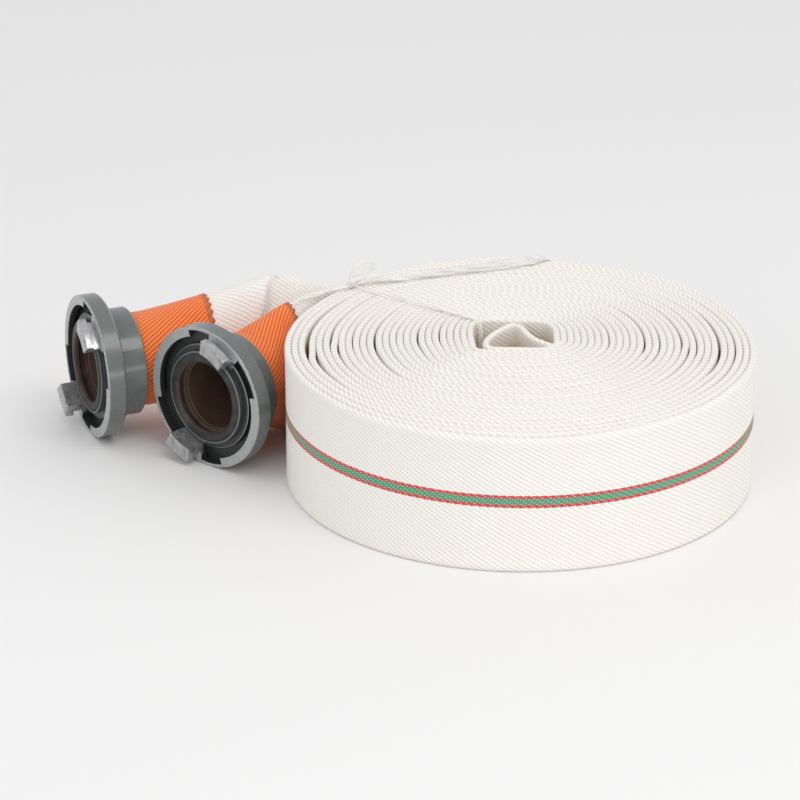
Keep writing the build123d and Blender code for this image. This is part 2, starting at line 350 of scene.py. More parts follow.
def lay_plies():
    """Middle, half thickness and depth of each strand at each direction of each turn."""
    plies = {"a": {}, "b": {}}
    for direction_index in range(TURN):
        angle = direction_index * STEP
        stack = []
        for strand in "ab":
            first = math.ceil(FIRST[strand] / STEP)
            last = math.ceil(LAST[strand] / STEP) + 1
            start = first + (direction_index - first) % TURN
            for index in range(start, last + 1, TURN):
                stack.append((-(index * STEP - (180.0 if strand == "b" else 0.0)), strand, index))
        stack.sort()
        outermost = stack[0]
        radius = outside(outermost[2] * STEP) - (PLY if outermost[1] == "b" else 0.0)
        outer = direction(angle) * radius
        inner = CORE + direction(angle) * core_radius(angle)
        span = np.linalg.norm(outer - inner)
        inward = (inner - outer) / span
        here = [smooth(index * STEP, FIRST[strand], FIRST[strand] + 30.0) for _, strand, index in stack]
        pitch = span / sum(here)
        fill = table(FILL, angle)
        weights = [gap_weight(strand, index * STEP) * h for (_, strand, index), h in zip(stack, here)]
        slack = (1.0 - fill) * span / sum(weights[:-1])
        travelled = 0.0
        for order, ((_, strand, index), h) in enumerate(zip(stack, here)):
            thick = fill * pitch * h
            plies[strand][index] = (*(outer + inward * (travelled + thick / 2)), fill * pitch / 2, order)
            travelled += thick + slack * weights[order]
    return plies


def eased(rows):
    """Strand rows with the small steps at the ends of the outer plies smoothed away."""
    kernel = np.array((1, 2, 3, 2, 1)) / 9.0
    indices = sorted(rows)
    values = np.array([rows[i] for i in indices])
    padded = np.concatenate((2 * values[:1] - values[2:0:-1], values, 2 * values[-1:] - values[-2:-4:-1]))
    radial = np.stack([np.convolve(padded[:, k], kernel, "valid") for k in range(3)], axis=1)
    # smoothing a curve pulls it inwards; put the sagitta back
    chord = np.linalg.norm(values[:, :2], axis=1)
    lost = chord - np.linalg.norm(radial[:, :2], axis=1)
    keep = np.clip(lost, 0.0, 0.6)
    radial[:, :2] *= ((chord - lost + keep) / np.maximum(chord - lost, 1e-6))[:, None]
    return indices, radial, values[:, 3]


def strand_rows(strand, plies, begin, end):
    """Stations (x, y, half thickness, plies from outside, angle) from one wound angle to another."""
    indices, values, order = eased(plies[strand])
    rows = []
    turned = begin
    while turned < end - 1.0:
        i = turned / STEP - indices[0]
        low = int(math.floor(i))
        part = i - low
        if low + 1 >= len(indices):
            break
        value = values[low] * (1 - part) + values[low + 1] * part
        rows.append((value[0], value[1], value[2], order[low], turned))
        centre = CORE if order[low] > 18 else np.zeros(2)
        radius = np.linalg.norm(value[:2] - centre)
        turned += min(2 * STEP, max(STEP, math.degrees(7.0 / radius))) if radius < 130 else STEP
    return rows


PLIES = lay_plies()
A_BEGIN, B_BEGIN = 243.0, 347.0
CORE_HALF = 2.5
# The fold in the middle of the hose, a loop that leans on the core's back wall
CORE_PATH = (
    (-16.5, -9.8), (-21.3, -7.2), (-22.8, -1.0), (-21.6, 8.0), (-17.4, 18.0), (-11.4, 27.5), (-5.2, 35.0),
    (-0.6, 38.0), (3.4, 35.4), (6.6, 28.0), (9.6, 19.0), (14.2, 10.6), (20.4, 3.4), (26.0, -1.6),
    (29.6, -1.0),
)


def tail_path(end, meet, heading):
    """Points and their distance back, from the shank to the roll; heading is the strand's way there."""
    spec = ENDS[end]
    at, nose = np.array(spec["at"]), direction(spec["nose"])
    start = at - nose * STRAIGHT
    chord = np.linalg.norm(meet - start)
    points = [(at - nose * back, back) for back in np.arange(TUBE_START, STRAIGHT, 4.0)]
    for t in np.linspace(0.0, 1.0, int(chord / spec["spacing"]))[:-1]:
        h = (2 * t**3 - 3 * t**2 + 1, t**3 - 2 * t**2 + t, -2 * t**3 + 3 * t**2, t**3 - t**2)
        point = h[0] * start - h[1] * chord * nose + h[2] * meet + h[3] * chord * heading
        points.append((point, STRAIGHT + t * chord))
    return points


def catmull_rom(p0, p1, p2, p3, t):
    """The place at t, from 0 to 1, between p1 and p2."""
    return 0.5 * (2 * p1 + (p2 - p0) * t + (2 * p0 - 5 * p1 + 4 * p2 - p3) * t * t
                  + (3 * p1 - p0 - 3 * p2 + p3) * t ** 3)


def curve_through(points, spacing):
    """A smooth curve through the points, at even spacing."""
    dense = []
    for i in range(1, len(points) - 2):
        near = [np.array(points[i + k], float) for k in (-1, 0, 1, 2)]
        dense += [catmull_rom(*near, t) for t in np.linspace(0, 1, 24)[:-1]]
    dense.append(np.array(points[-2], float))
    dense = np.array(dense)
    steps = np.concatenate(([0], np.cumsum(np.linalg.norm(np.diff(dense, axis=0), axis=1))))
    count = max(2, int(round(steps[-1] / spacing)))
    wanted = np.linspace(0, steps[-1], count + 1)
    return np.stack([np.interp(wanted, steps, dense[:, k]) for k in range(2)], axis=1)


CREST_AT = 147.0                # hose end A is kinked this far behind its ring
CREASE_AT = 145.0
CREASE_SLANT = 0.42
CREASE_OUT = 6.5


def crest(back):
    """How far the top of hose end A stands above a plain tail: a kink, then a sag to the roll."""
    width = 34.0 if back < CREST_AT else 20.0
    kink = 6.0 * math.exp(-((back - CREST_AT) / width) ** 2)
    return kink - 13.0 * smooth(back, 162.0, 216.0) * smooth(284.0 - back, 0.0, 50.0)


def crease(back, up, height):
    """How far the near side of end A is pushed out beside its crease, which slants down from the kink."""
    past = back - (CREASE_AT - CREASE_SLANT * (height - up))
    fade = smooth(up, -0.5 * height, 0.25 * height)
    if past < 0.0:
        out = CREASE_OUT * math.exp(-((past / 22.0) ** 2))
    else:
        out = CREASE_OUT - 12.5 * smooth(past, -3.0, 9.0) + 6.0 * smooth(past, 9.0, 34.0)
    loose = smooth(back, 165.0, 190.0) * smooth(262.0 - back, 0.0, 25.0)
    return out * fade + 1.2 * wobble(back / 13.0, up / 17.0, 8.0) * loose


def tail_stations(end, rows):
    """Sections from a coupling to the roll, which the end meets where rows stop."""
    spec = ENDS[end]
    meet, before = np.array(rows[-1][:2]), np.array(rows[-2][:2])
    heading = before - meet
    heading /= np.linalg.norm(heading)
    path = tail_path(end, meet, heading)
    full = path[-1][1]
    flat = rows[-1][2]
    made = []
    for point, back in path:
        share = max(0.0, (back - STRAIGHT) / (full - STRAIGHT))
        half = flat + (JACKET_RADIUS - flat) * (1 - share) ** spec["flatten"]
        rise = math.sin(min(1.0, share / spec["grow"]) * math.pi / 2)
        height = JACKET_RADIUS + (FLAT / 2 - JACKET_RADIUS) * rise
        made.append({"at": point, "half": min(half, height), "height": height,
                     "z": RIM + (FLAT / 2 - RIM) * rise, "flat": smooth(share, 0.72, 1.0),
                     "order": -1.0, "turned": 0.0, "back": back, "end": end,
                     "crest": crest(back) if end == "a" else 0.0})
    return made


def flat_station(at, half, order, turned, part):
    """A section of the flat hose standing on the floor."""
    return {"at": np.array(at), "half": half, "height": FLAT / 2, "z": FLAT / 2, "flat": 1.0,
            "order": order, "turned": turned, "back": 0.0, "end": part}


def hose_stations():
    """The whole hose from coupling A to coupling B. Each station is a dict of its section."""
    rows = {end: strand_rows(end, PLIES, begin, ENDS[end]["leave"] + 360.0 * WINDINGS)
            for end, begin in (("a", A_BEGIN), ("b", B_BEGIN))}
    wound = {end: [flat_station(row[:2], *row[2:], end) for row in rows[end]] for end in rows}
    ends = [rows["a"][1][:2], rows["a"][0][:2], *CORE_PATH, rows["b"][0][:2], rows["b"][1][:2]]
    core = [flat_station(point, CORE_HALF, 99.0, 0.0, "core") for point in curve_through(ends, 3.4)[1:-1]]
    return (tail_stations("a", rows["a"]) + wound["a"][::-1] + core
            + wound["b"] + tail_stations("b", rows["b"])[::-1])


STATIONS = hose_stations()
QUARTER = 8                     # edges of the section in each quarter
FLAT_HALF = 2.15                # half the thickness of the flat hose, away from its edges
OPEN_PLIES = 26                 # plies from here in line the core's hollows, where light gets in


def quarter_flat(half, middle, height, ease):
    """Points of a flat hose's quarter section, from its side's middle to the top of its edge."""
    drop = half * (1.0 + 0.5 * ease)
    points = [(middle, 0.0), (middle, 0.42 * height), (middle, height - 14.0),
              (0.5 * (middle + half), height - 7.5)]
    for k in range(5):
        turn = math.radians(22.5 * k)
        squeeze = 1.0 - 0.25 * ease
        x = math.cos(turn) ** squeeze if k < 4 else 0.0
        points.append((half * x, height - drop + drop * math.sin(turn)))
    return np.array(points)


def section(station, ease):
    """The outline as (sideways, up) from the middle, from one side's middle over the top and round."""
    half, height, flat = station["half"], station["height"], station["flat"]
    turns = np.radians(np.linspace(0, 90, QUARTER + 1))
    oval = np.stack((half * np.cos(turns), height * np.sin(turns)), axis=1)
    stadium = quarter_flat(half, min(FLAT_HALF, half), height, ease)
    quarter = oval * (1 - flat) + stadium * flat
    up_left = quarter * (-1, 1)
    over = quarter[::-1][1:]
    down = (quarter * (1, -1))[1:]
    up = (quarter * (-1, -1))[::-1][1:]
    return np.concatenate((up_left, over, down, up))[:-1]


def tail_shift(station, ring, side):
    """How far the kink and the crease of end A move a section's points; end B has neither."""
    shift = np.zeros(ring.shape)
    shift[:, 1] = np.clip(ring[:, 1] / station["height"], 0, 1) ** 2 * station["crest"]
    if station["end"] == "a" and station["back"] > 100.0:
        near = -1.0 if side[1] > 0 else 1.0
        for k, (across, up) in enumerate(ring):
            if across * near >= -0.05:
                push = crease(station["back"], up, station["height"])
                shift[k, 0] = near * push * smooth(abs(across), 0.0, 6.0)
    return shift


def build_hose():
    """Rings of points along the hose, the cloth's place round them and along them, and how much painted shade
    it gets by how hidden it is.
    """
    count = len(STATIONS)
    middles = np.array([s["at"] for s in STATIONS])
    ahead = np.gradient(middles, axis=0)
    ahead /= np.linalg.norm(ahead, axis=1)[:, None]
    lengths = np.concatenate(([0], np.cumsum(np.linalg.norm(np.diff(middles, axis=0), axis=1))))
    around = 4 * QUARTER
    points = np.zeros((count, around, 3))
    spans = np.zeros((count, around + 1))
    crevice_shade = np.zeros((count, around))
    for i, station in enumerate(STATIONS):
        side = np.array((-ahead[i][1], ahead[i][0]))
        wound = station["order"] >= 0
        from_front = abs((station["turned"] - 270.0 + 180.0) % 360.0 - 180.0)
        front = smooth(from_front, 62.0, 38.0) if wound else 0.0
        ring = section(station, front)
        wave = 0.0
        if wound:
            wave = 0.55 * wobble(lengths[i] / 55.0, 0.5, 4.0)
            if station["order"] < 3:
                wave -= front * (1.5, 0.8, 0.3)[int(station["order"])]
        if "crest" in station:
            ring = ring + tail_shift(station, ring, side)
        points[i, :, :2] = middles[i] + ring[:, :1] * side
        lift = np.clip(ring[:, 1] / (FLAT / 2), 0, 1) ** 2 * wave
        points[i, :, 2] = station["z"] + ring[:, 1] + lift
        closed = np.vstack((ring, ring[:1]))
        run = np.concatenate(([0], np.cumsum(np.linalg.norm(np.diff(closed, axis=0), axis=1))))
        middle = 2 * QUARTER
        left, right = run[:middle + 1], run[middle:]
        spans[i, :middle + 1] = (left / left[-1] - 1.0) * FLAT
        spans[i, middle:] = (right - right[0]) / (right[-1] - right[0]) * FLAT
        if wound:
            # painted shade between the plies: the depth below the top edge where it begins and where it is
            # full
            start, end = (0.8, 20.0) if station["order"] < OPEN_PLIES else (3.0, 30.0)
            depth = station["height"] - ring[:, 1]
            hidden = np.array([smooth(d, start, end) for d in depth]) ** 0.8
            if station["order"] == 0:
                hidden[ring[:, 0] * np.sign(side @ middles[i]) > 0.3] = 0.0
            crevice_shade[i] = hidden
    return points * MM, spans * MM, lengths * MM, crevice_shade


def smooth_object(name, points, faces):
    """A smooth-shaded mesh from points in metres, put in the scene."""
    mesh = bpy.data.meshes.new(name)
    mesh.from_pydata(points.reshape(-1, 3).tolist(), [], faces)
    mesh.polygons.foreach_set("use_smooth", [True] * len(mesh.polygons))
    mesh.update()
    made = bpy.data.objects.new(name, mesh)
    bpy.context.scene.collection.objects.link(made)
    return made


def cloth_object(name, points, quads, reach, run):
    """A mesh of rings of points, with its cloth coordinates, along and round, in the map weave."""
    made = smooth_object(name, points, quads.reshape(-1, 4).tolist())
    corner = np.stack((reach[:, None] + np.zeros((1, run.shape[1])), run), axis=-1)
    loops = np.stack((corner[:-1, :-1], corner[:-1, 1:], corner[1:, 1:], corner[1:, :-1]), axis=2)
    made.data.uv_layers.new(name="weave").data.foreach_set("uv", loops.reshape(-1).astype(np.float32))
    return made


def grid(count, around):
    """Numbers of a grid's vertices, and of their neighbours round the ring."""
    index = np.arange(count * around).reshape(count, around)
    return index, np.roll(index, -1, axis=1)


JACKET = make_jacket()
points, spans, lengths, crevice_shade = build_hose()
index, beside = grid(*points.shape[:2])
quads = np.stack((index[:-1], beside[:-1], beside[1:], index[1:]), axis=-1)
hose = cloth_object("hose", points, quads, lengths, spans)
# the painted shade between the plies, read by the jacket's material
buried_map = hose.data.attributes.new("crevice_shade", "FLOAT", "POINT")
buried_map.data.foreach_set("value", crevice_shade.reshape(-1).astype(np.float32))
hose.data.materials.append(JACKET)
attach(hose, "root")
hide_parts("hose_roll", "hose_end_a", "hose_end_b", "hose_neck_a", "hose_neck_b")


# ---------------------------------------------------------------- sleeves and linings

def closed_shell(name, outer, inner, along):
    """A tube with a wall, closed at both ends, with its cloth coordinates in the map weave."""
    points = np.concatenate((outer, inner[::-1]))
    index, beside = grid(*points.shape[:2])
    quads = np.stack((index, beside, np.roll(beside, -1, axis=0), np.roll(index, -1, axis=0)), axis=-1)
    looped = np.concatenate((points, points[:1]))
    ring = np.concatenate((looped, looped[:, :1]), axis=1)
    run = np.cumsum(np.linalg.norm(np.diff(ring, axis=1), axis=2), axis=1)
    run = np.concatenate((np.zeros((len(points) + 1, 1)), run), axis=1)
    reach = np.concatenate((along, along[::-1], along[:1]))
    return cloth_object(name, points * MM, quads, reach * MM, run * MM)


def tail_skin(end, stops, grow, around, tooth=0.0, loose=0.0):
    """Rings of points round a hose end, off its surface by grow, the last ring cut in teeth."""
    rows = [s for s in STATIONS if s["end"] == end and s["order"] < 0]
    if end == "b":
        rows = rows[::-1]
    middles = np.array([s["at"] for s in rows])
    ahead = np.gradient(middles, axis=0)
    ahead /= np.linalg.norm(ahead, axis=1)[:, None]
    backs, halves, heights, levels = (
        np.array([s[key] for s in rows]) for key in ("back", "half", "height", "z"))
    turns = np.linspace(0, 2 * math.pi, around, endpoint=False)
    teeth = np.array((1.0, 0.5, 0.0, 0.5) * (around // 4)) * tooth
    rings = []
    for k, stop in enumerate(stops):
        reach = stop + (teeth if k == len(stops) - 1 else np.zeros(around))
        at = np.stack([np.interp(reach, backs, middles[:, c]) for c in range(2)], axis=1)
        way = np.stack([np.interp(reach, backs, ahead[:, c]) for c in range(2)], axis=1)
        slack = np.array([
            loose * wobble(math.cos(t) * 1.7, math.sin(t) * 1.7 + stop / 24.0, 6.0) for t in turns])
        x = (np.interp(reach, backs, halves) + grow + slack) * np.cos(turns)
        z = (np.interp(reach, backs, heights) + grow + slack) * np.sin(turns)
        if end == "a":
            z = z + np.array([crest(r) for r in reach]) * np.clip(np.sin(turns), 0, 1) ** 2
        rings.append(np.stack((at[:, 0] - way[:, 1] * x, at[:, 1] + way[:, 0] * x,
                               np.interp(reach, backs, levels) + z), axis=1))
    return np.array(rings)


def place_shell(made, node, material):
    """Give a shell its material and what it stands for."""
    made.data.materials.append(material)
    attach(made, "root")
    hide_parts(node)


def build_sleeve(end):
    """The orange sleeve over the hose end, pinked at its edge."""
    tooth = 2.4
    stops = np.linspace(TUBE_START + 1.0, ENDS[end]["sleeve"] - tooth / 2, 24)
    outer = tail_skin(end, stops, 1.65, 128, tooth, 0.25)
    inner = tail_skin(end, stops, 0.45, 128, tooth, 0.25)
    made = closed_shell(f"sleeve_cloth_{end}", outer, inner, stops)
    place_shell(made, f"sleeve_{end}", SLEEVE)


def build_lining(end):
    """The rubber in the hose, as far as the sleeve; beyond it lies flat in the jacket, out of sight."""
    stops = np.linspace(TUBE_START - 0.4, ENDS[end]["sleeve"] - 4.0, 20)
    outer = tail_skin(end, stops, -1.35, 64, loose=0.15)
    inner = tail_skin(end, stops, -2.25, 64, loose=0.15)
    made = closed_shell(f"rubber_lining_{end}", outer, inner, stops)
    place_shell(made, f"lining_{end}", LINING)


def make_lining():
    """Near-black brown rubber with reddish-brown clouds, a painted reflection of orange light inside the
    hose.
    """
    sh = Shader("rubber")
    place = sh.place()
    cloudy = sh.noise(place, 42.0, 4.0)
    # near-black rubber, with reddish clouds of painted reflected orange light
    color = sh.mix(sh.ramp(cloudy, 0.35, 0.7), (0.045, 0.026, 0.020), (0.22, 0.085, 0.055))
    rough = sh.ramp(cloudy, 0.3, 0.7, 0.36, 0.6)
    return sh.finish(color, rough, sh.bump(sh.noise(place, 300.0, 3.0), 0.0003))


SLEEVE, LINING = make_sleeve(), make_lining()
for end in ENDS:
    build_sleeve(end)
    build_lining(end)


# ---------------------------------------------------------------- couplings

RECESS_FLOOR = -9.4             # inside the wall and in front of this the ring is coloured near black
WALL_INSIDE = 53.0
LIP_INSIDE = 48.0
HUB_EDGE = (41.0, -4.2)         # radius and height of the hub's front edge
BORE = 27.5
GASKET_LIP = 29.4


def about_axis(sh, end):
    """Height along a coupling's axis, radius from it, and how squarely a point lies by a claw, 0 to 1."""
    spec = ENDS[end]
    nose = direction(spec["nose"])
    claw = math.radians(spec["claws"])
    middle = (spec["at"][0] * MM, spec["at"][1] * MM, RIM * MM)
    off = sh.vector("SUBTRACT", sh.place(), middle)
    height = sh.vector("DOT_PRODUCT", off, (*nose, 0.0))
    length = sh.vector("LENGTH", off)
    square = sh.math("SUBTRACT", sh.math("MULTIPLY", length, length), sh.math("MULTIPLY", height, height))
    radius = sh.math("SQRT", sh.math("MAXIMUM", square, 1e-9))
    toward = (-nose[1] * math.cos(claw), nose[0] * math.cos(claw), math.sin(claw))
    squarely = sh.math("DIVIDE", sh.math("ABSOLUTE", sh.vector("DOT_PRODUCT", off, toward)), radius)
    return height, radius, squarely


def make_ring_paint(end):
    """Grey enamel, near black inside, lighter grey in flecks on its front faces, rubbed on its edges, and
    bare on the claws.
    """
    sh = Shader(f"ring_paint_{end}")
    height, radius, squarely = about_axis(sh, end)
    place = sh.place()
    cloudy = sh.noise(place, 45.0, 4.0)
    specks = sh.noise(place, 420.0, 4.0, 0.65)
    color = sh.mix(cloudy, (0.105, 0.121, 0.118), (0.142, 0.158, 0.155))
    # lighter grey, in flecks, on the faces at the front plane
    front = sh.math("MULTIPLY", sh.ramp(height, -0.9 * MM, -0.3 * MM), sh.ramp(specks, 0.2, 0.6, 0.6, 1.0))
    color = sh.mix(front, color, (0.37, 0.375, 0.38))
    # near black in the recess inside the wall and in front of its floor
    inside = sh.math("MULTIPLY", sh.ramp(radius, (WALL_INSIDE + 0.2) * MM, (WALL_INSIDE + 0.1) * MM),
                     sh.between(height, RECESS_FLOOR * MM, -1.1 * MM, 0.5 * MM))
    recess_dark = sh.mix(cloudy, (0.011, 0.012, 0.0125), (0.035, 0.037, 0.038))
    color = sh.mix(inside, color, recess_dark)
    # claws: everything in front of the front plane, and the hooks' sides down to the recess
    by_claw = sh.ramp(squarely, 0.952, 0.962)
    hook = sh.math("MULTIPLY", by_claw, sh.ramp(height, -5.5 * MM, -2.0 * MM))
    hook = sh.math("MULTIPLY", hook, sh.ramp(radius, (LIP_INSIDE + 0.8) * MM, (LIP_INSIDE + 0.2) * MM))
    claw = sh.math("MAXIMUM", hook, sh.ramp(height, 0.25 * MM, 0.5 * MM))
    worn = sh.noise(place, 190.0, 5.0, 0.6, stretch=(1.0, 1.0, 0.45))
    bare = sh.math("MULTIPLY", claw, sh.ramp(worn, 0.30, 0.56))
    color = sh.mix(sh.math("MULTIPLY", claw, 0.9), color, (0.17, 0.178, 0.18))
    color = sh.mix(bare, color, sh.mix(specks, (0.34, 0.335, 0.345), (0.56, 0.555, 0.565)))
    turned, rounded = sh.edge(0.7 * MM)
    rubbed = sh.math("MULTIPLY", sh.ramp(turned, 0.012, 0.07), sh.ramp(specks, 0.38, 0.58))
    rubbed = sh.math("MULTIPLY", rubbed, sh.math("MULTIPLY_ADD", inside, -0.85, 0.9))
    color = sh.mix(rubbed, color, (0.56, 0.565, 0.57))
    hub_off = sh.math("MAXIMUM", sh.math("ABSOLUTE", sh.math("SUBTRACT", radius, HUB_EDGE[0] * MM)),
                      sh.math("ABSOLUTE", sh.math("SUBTRACT", height, HUB_EDGE[1] * MM)))
    hub_edge = sh.math("MULTIPLY", sh.ramp(hub_off, 0.55 * MM, 0.35 * MM), 0.8)
    color = sh.mix(hub_edge, color, (0.42, 0.43, 0.43))
    metal = sh.math("MULTIPLY", sh.math("MAXIMUM", bare, sh.math("MULTIPLY", rubbed, 0.5)), 0.75)
    sh.put(metal, sh.bsdf.inputs["Metallic"])
    rough = sh.ramp(cloudy, 0.3, 0.7, 0.22, 0.30)
    rough = sh.math("MAXIMUM", rough, sh.math("MULTIPLY", inside, 0.55))
    cast = sh.math("MULTIPLY", sh.math("MULTIPLY", claw, worn), 0.3)
    dents = sh.math("ADD", sh.math("MULTIPLY", specks, 0.25), cast)
    normal = sh.bump(dents, 0.0004, 0.6, rounded)
    return sh.finish(color, rough, normal, Coat_Weight=0.35, Coat_Roughness=0.12, Specular_IOR_Level=0.5)


def make_seat(end):
    """Cast seat, machined on its nose, dark brown down the bore, with reddish patches of painted reflected
    orange light.
    """
    sh = Shader(f"seat_metal_{end}")
    _, radius, _ = about_axis(sh, end)
    place = sh.place()
    specks = sh.noise(place, 500.0, 4.0)
    color = sh.mix(specks, (0.10, 0.105, 0.108), (0.20, 0.205, 0.21))
    bore = sh.ramp(radius, (BORE + 0.7) * MM, (BORE + 0.4) * MM)
    # dark brown down the bore, its reddish patches a painted reflection of orange light
    bore_brown_and_reflection = sh.mix(sh.noise(place, 60.0, 4.0), (0.045, 0.028, 0.022), (0.16, 0.085, 0.06))
    color = sh.mix(bore, color, bore_brown_and_reflection)
    turned, rounded = sh.edge(0.4 * MM)
    color = sh.mix(sh.math("MULTIPLY", sh.ramp(turned, 0.01, 0.06), 0.8), color, (0.45, 0.45, 0.45))
    sh.put(sh.math("MULTIPLY_ADD", bore, -0.6, 0.6), sh.bsdf.inputs["Metallic"])
    return sh.finish(color, sh.ramp(specks, 0.3, 0.7, 0.34, 0.5), sh.bump(specks, 0.0001, 0.6, rounded))


def make_gasket(end):
    """Black rubber, dusty in front and stained brown inside its lip."""
    sh = Shader(f"gasket_rubber_{end}")
    height, radius, _ = about_axis(sh, end)
    place = sh.place()
    dusty = sh.noise(place, 90.0, 5.0, 0.65)
    color = sh.mix(sh.ramp(dusty, 0.42, 0.72), (0.014, 0.014, 0.014), (0.055, 0.053, 0.05))
    near_lip = sh.ramp(radius, (GASKET_LIP + 1.8) * MM, GASKET_LIP * MM)
    lip = sh.math("MULTIPLY", near_lip, sh.ramp(height, 0.3 * MM, -0.8 * MM))
    color = sh.mix(lip, color, sh.mix(dusty, (0.03, 0.02, 0.016), (0.13, 0.07, 0.05)))
    fine = sh.noise(place, 900.0, 2.0)
    return sh.finish(color, sh.ramp(dusty, 0.3, 0.7, 0.42, 0.62), sh.bump(fine, 0.00012))


def make_wire(name, color, grain):
    """Drawn metal, streaked along its grain."""
    sh = Shader(name)
    place = sh.place()
    streaks = sh.noise(place, 700.0, 3.0, stretch=grain)
    sh.put(0.9, sh.bsdf.inputs["Metallic"])
    shade = sh.mix(streaks, tuple(0.7 * c for c in color), color)
    return sh.finish(shade, sh.ramp(streaks, 0.3, 0.7, 0.3, 0.5), sh.bump(streaks, 0.0001))


SPRING = make_wire("spring_steel", (0.5, 0.5, 0.51), (1.0, 1.0, 4.0))
WIRE = make_wire("tie_wire", (0.6, 0.61, 0.62), (4.0, 1.0, 1.0))
for end in ENDS:
    looks = {"claw_ring": make_ring_paint(end), "seal_seat": make_seat(end), "gasket": make_gasket(end),
             "snap_ring": SPRING, "binding_wire": WIRE}
    for piece, material in looks.items():
        for held in frame["nodes"][f"{piece}_{end}"].material_slots:
            held.material = material


# ---------------------------------------------------------------- film tie

FILM_THICK = 0.12
KNOT = (-123.8, 112.4, 107.6)


def film_route(points, spacing=1.5):
    """Points x, y, z, width and tilt of a ribbon along a smooth curve."""
    before, after = 2 * np.array(points[0]) - points[1], 2 * np.array(points[-1]) - points[-2]
    rows = np.array([before, *points, after], float)
    dense = []
    for near in zip(rows[:-3], rows[1:-2], rows[2:-1], rows[3:]):
        gap = np.linalg.norm((near[2] - near[1])[:3])
        dense += [catmull_rom(*near, t) for t in np.arange(0.0, 1.0, spacing / max(spacing, gap))]
    dense.append(rows[-2])
    return np.array(dense)


def film_ribbon(points, seed, crumple, across=9):
    """Vertices and faces of a thin crumpled ribbon, closed all round."""
    rows = film_route(points)
    ahead = np.gradient(rows[:, :3], axis=0)
    ahead /= np.linalg.norm(ahead, axis=1)[:, None]
    level = np.cross(ahead, (0.0, 0.0, 1.0))
    level /= np.maximum(np.linalg.norm(level, axis=1), 1e-3)[:, None]
    over = np.cross(level, ahead)
    loops = []
    for k, row in enumerate(rows):
        tilt = math.radians(row[4])
        flat = level[k] * math.cos(tilt) + over[k] * math.sin(tilt)
        out = over[k] * math.cos(tilt) - level[k] * math.sin(tilt)
        line = []
        for j in range(across):
            u = 2.0 * j / (across - 1) - 1.0
            rough = wobble(k * 0.10, u * 1.3 + seed, seed) + 0.3 * wobble(k * 0.3, u * 2.4, seed + 3.0)
            pleat = 0.35 * crumple * math.cos(u * 7.0 + seed + k * 0.05)
            line.append(row[:3] + flat * (u * row[3] / 2) + out * (crumple * rough + pleat))
        line = np.array(line)
        loops.append(np.concatenate((line + out * FILM_THICK / 2, line[::-1] - out * FILM_THICK / 2)))
    loops = np.array(loops)
    count, ring, _ = loops.shape
    index, beside = grid(count, ring)
    faces = np.stack((index[:-1], beside[:-1], beside[1:], index[1:]), axis=-1).reshape(-1, 4).tolist()
    for row, way in ((index[0], -1), (index[-1], 1)):
        for j in range(across - 1):
            faces.append([int(v) for v in (row[j], row[j + 1], row[ring - 2 - j], row[ring - 1 - j])[::way]])
    return loops.reshape(-1, 3), faces


def film_knot(turns=72, ring=10):
    """A small knot pulled tight: a trefoil of the twisted film."""
    t = np.linspace(0, 2 * math.pi, turns, endpoint=False)
    path = np.stack((np.sin(t) + 2 * np.sin(2 * t), np.cos(t) - 2 * np.cos(2 * t), -np.sin(3 * t)), axis=1)
    path = path * (1.35, 0.75 * 1.35, 1.25) + KNOT
    ahead = np.roll(path, -1, axis=0) - np.roll(path, 1, axis=0)
    ahead /= np.linalg.norm(ahead, axis=1)[:, None]
    side = np.cross(ahead, (0.2, 0.3, 0.93))
    side /= np.linalg.norm(side, axis=1)[:, None]
    over = np.cross(side, ahead)
    turn = np.linspace(0, 2 * math.pi, ring, endpoint=False)
    points = []
    for k in range(turns):
        for a in turn:
            size = 1.15 + 0.25 * math.cos(3 * a + k * 0.9)
            points.append(path[k] + side[k] * size * math.cos(a) + over[k] * 0.75 * size * math.sin(a))
    index, beside = grid(turns, ring)
    quads = np.stack((index, beside, np.roll(beside, -1, axis=0), np.roll(index, -1, axis=0)), axis=-1)
    return np.array(points), quads.reshape(-1, 4).tolist()


